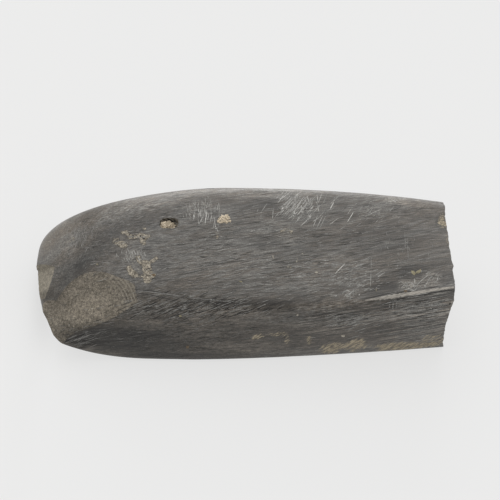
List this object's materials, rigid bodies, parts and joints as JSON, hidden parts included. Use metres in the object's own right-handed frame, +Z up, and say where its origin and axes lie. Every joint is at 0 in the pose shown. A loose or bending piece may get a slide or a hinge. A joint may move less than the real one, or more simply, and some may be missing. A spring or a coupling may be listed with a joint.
{
  "type": "stone axe head",
  "caption": "Polished dark stone axe head with a flaked corner at the cutting edge and a broken butt, lying on its flatter face.",
  "frame": {"origin": "on the surface it lies on, under the middle of its bounding box", "axes": "+X from the cutting edge to the broken butt, +Y to the far side, which stands higher, +Z up"},
  "size_m": [0.1132, 0.0402, 0.0292],
  "materials": {
    "stone": "ground and polished, with matte broken faces"
  },
  "bodies": {
    "root": {"axe_head": "stone"}
  },
  "joints": []
}
